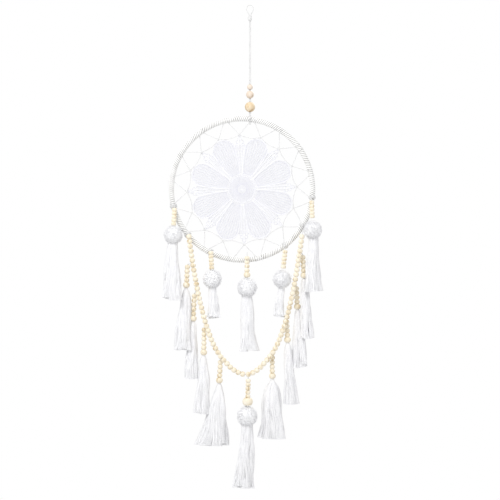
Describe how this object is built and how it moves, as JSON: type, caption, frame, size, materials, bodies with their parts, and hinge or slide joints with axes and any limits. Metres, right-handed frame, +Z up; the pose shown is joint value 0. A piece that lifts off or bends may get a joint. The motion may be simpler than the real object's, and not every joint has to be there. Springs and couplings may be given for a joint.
{
  "type": "dream catcher",
  "caption": "Hanging dream catcher: a cord-wrapped hoop with a laced crochet doily, a bead garland, pompoms and yarn tassels.",
  "frame": {"origin": "top inside of the hanging loop, where a nail or hook bears", "axes": "+Z up, the length hangs down along -Z; the front, where the strands hang, faces -Y; +X is to the right seen from the front"},
  "size_m": [0.2148, 0.0313, 0.6557],
  "materials": {
    "cotton_cord": "twisted white cotton cord",
    "cotton_yarn": "white cotton yarn",
    "steel_wire": "plain wire, hidden by its wrap",
    "wrap_cord": "white cord wound side by side",
    "crochet_cotton": "fine white crochet cotton",
    "pompom_yarn": "cut white yarn, fluffy",
    "tassel_yarn": "straight white yarn",
    "natural_wood": "unvarnished light brown wood",
    "pale_wood": "unvarnished pale wood"
  },
  "bodies": {
    "hanger": {"hanging_cord": "cotton_cord", "loop_knot": "cotton_yarn", "hanger_bead_small": "pale_wood", "hanger_bead_medium": "natural_wood"},
    "hoop_hanger": {"hanger_bead_large": "natural_wood", "hoop_tie": "cotton_yarn"},
    "hoop": {"hoop_ring": "steel_wire", "hoop_wrap": "wrap_cord", "doily": "crochet_cotton", "web_lacing": "cotton_yarn", "strand_ties": "cotton_yarn"},
    "garland": {"garland_cord": "cotton_cord", "garland_beads_1": "pale_wood", "garland_beads_2": "pale_wood", "garland_beads_3": "pale_wood", "garland_beads_4": "pale_wood", "garland_beads_5": "pale_wood", "garland_beads_6": "pale_wood", "garland_beads_7": "pale_wood", "garland_beads_8": "pale_wood"},
    "far_left_strand": {"far_left_strand_beads": "pale_wood", "far_left_strand_pompom": "pompom_yarn", "far_left_strand_tassel": "tassel_yarn"},
    "far_right_strand": {"far_right_strand_beads": "pale_wood", "far_right_strand_pompom": "pompom_yarn", "far_right_strand_tassel": "tassel_yarn"},
    "inner_left_strand": {"inner_left_strand_beads": "pale_wood", "inner_left_strand_pompom": "pompom_yarn", "inner_left_strand_tassel": "tassel_yarn"},
    "centre_strand": {"centre_strand_beads": "pale_wood", "centre_strand_pompom": "pompom_yarn", "centre_strand_tassel": "tassel_yarn"},
    "inner_right_strand": {"inner_right_strand_beads": "pale_wood", "inner_right_strand_pompom": "pompom_yarn", "inner_right_strand_tassel": "tassel_yarn"},
    "left_drop_1": {"left_drop_1_beads": "pale_wood", "left_drop_1_tassel": "tassel_yarn"},
    "left_drop_2": {"left_drop_2_beads": "pale_wood", "left_drop_2_tassel": "tassel_yarn"},
    "left_drop_3": {"left_drop_3_beads": "pale_wood", "left_drop_3_tassel": "tassel_yarn"},
    "left_drop_4": {"left_drop_4_beads": "pale_wood", "left_drop_4_tassel": "tassel_yarn"},
    "right_drop_1": {"right_drop_1_beads": "pale_wood", "right_drop_1_tassel": "tassel_yarn"},
    "right_drop_2": {"right_drop_2_beads": "pale_wood", "right_drop_2_tassel": "tassel_yarn"},
    "right_drop_3": {"right_drop_3_beads": "pale_wood", "right_drop_3_tassel": "tassel_yarn"},
    "right_drop_4": {"right_drop_4_beads": "pale_wood", "right_drop_4_tassel": "tassel_yarn"},
    "lowest_drop": {"lowest_drop_beads": "pale_wood", "lowest_drop_tassel": "tassel_yarn", "lowest_drop_pompom": "pompom_yarn"}
  },
  "joints": [
    {"name": "hoop_twist", "type": "hinge", "parent": "hanger", "child": "hoop_hanger", "pos_m": [0, 0, -0.131], "axis": [0, 0, 1], "range_deg": [-180, 180]},
    {"name": "hoop_swing", "type": "hinge", "parent": "hoop_hanger", "child": "hoop", "pos_m": [0, 0, -0.15463], "axis": [1, 0, 0], "range_deg": [-60, 60]},
    {"name": "garland_swing", "type": "hinge", "parent": "hoop", "child": "garland", "pos_m": [-0.00625, -0.0093, -0.307], "axis": [1, 0, 0], "range_deg": [-60, 0]},
    {"name": "far_left_strand_swing", "type": "hinge", "parent": "hoop", "child": "far_left_strand", "pos_m": [-0.1023, -0.0093, -0.272], "axis": [1, 0, 0], "range_deg": [-60, 0]},
    {"name": "far_right_strand_swing", "type": "hinge", "parent": "hoop", "child": "far_right_strand", "pos_m": [0.0835, -0.0093, -0.262], "axis": [1, 0, 0], "range_deg": [-60, 0]},
    {"name": "inner_left_strand_swing", "type": "hinge", "parent": "hoop", "child": "inner_left_strand", "pos_m": [-0.053, 0, -0.33632], "axis": [1, 0, 0], "range_deg": [-30, 30]},
    {"name": "centre_strand_swing", "type": "hinge", "parent": "hoop", "child": "centre_strand", "pos_m": [-0.004, 0, -0.34574], "axis": [1, 0, 0], "range_deg": [-30, 30]},
    {"name": "inner_right_strand_swing", "type": "hinge", "parent": "hoop", "child": "inner_right_strand", "pos_m": [0.0473, 0, -0.32627], "axis": [1, 0, 0], "range_deg": [-30, 30]},
    {"name": "left_drop_1_swing", "type": "hinge", "parent": "garland", "child": "left_drop_1", "pos_m": [-0.085, -0.0093, -0.3505], "axis": [1, 0, 0], "range_deg": [0, 45]},
    {"name": "left_drop_2_swing", "type": "hinge", "parent": "garland", "child": "left_drop_2", "pos_m": [-0.0758, -0.0093, -0.39], "axis": [1, 0, 0], "range_deg": [0, 45]},
    {"name": "left_drop_3_swing", "type": "hinge", "parent": "garland", "child": "left_drop_3", "pos_m": [-0.0622, -0.0093, -0.436], "axis": [1, 0, 0], "range_deg": [0, 45]},
    {"name": "left_drop_4_swing", "type": "hinge", "parent": "garland", "child": "left_drop_4", "pos_m": [-0.0401, -0.0093, -0.48], "axis": [1, 0, 0], "range_deg": [0, 45]},
    {"name": "right_drop_1_swing", "type": "hinge", "parent": "garland", "child": "right_drop_1", "pos_m": [0.0718, -0.0093, -0.3375], "axis": [1, 0, 0], "range_deg": [0, 45]},
    {"name": "right_drop_2_swing", "type": "hinge", "parent": "garland", "child": "right_drop_2", "pos_m": [0.0633, -0.0093, -0.38], "axis": [1, 0, 0], "range_deg": [0, 45]},
    {"name": "right_drop_3_swing", "type": "hinge", "parent": "garland", "child": "right_drop_3", "pos_m": [0.05, -0.0093, -0.425], "axis": [1, 0, 0], "range_deg": [0, 45]},
    {"name": "right_drop_4_swing", "type": "hinge", "parent": "garland", "child": "right_drop_4", "pos_m": [0.0303, -0.0093, -0.468], "axis": [1, 0, 0], "range_deg": [0, 45]},
    {"name": "lowest_drop_swing", "type": "hinge", "parent": "garland", "child": "lowest_drop", "pos_m": [-0.0024, -0.0093, -0.5045], "axis": [1, 0, 0], "range_deg": [-45, 45]}
  ]
}
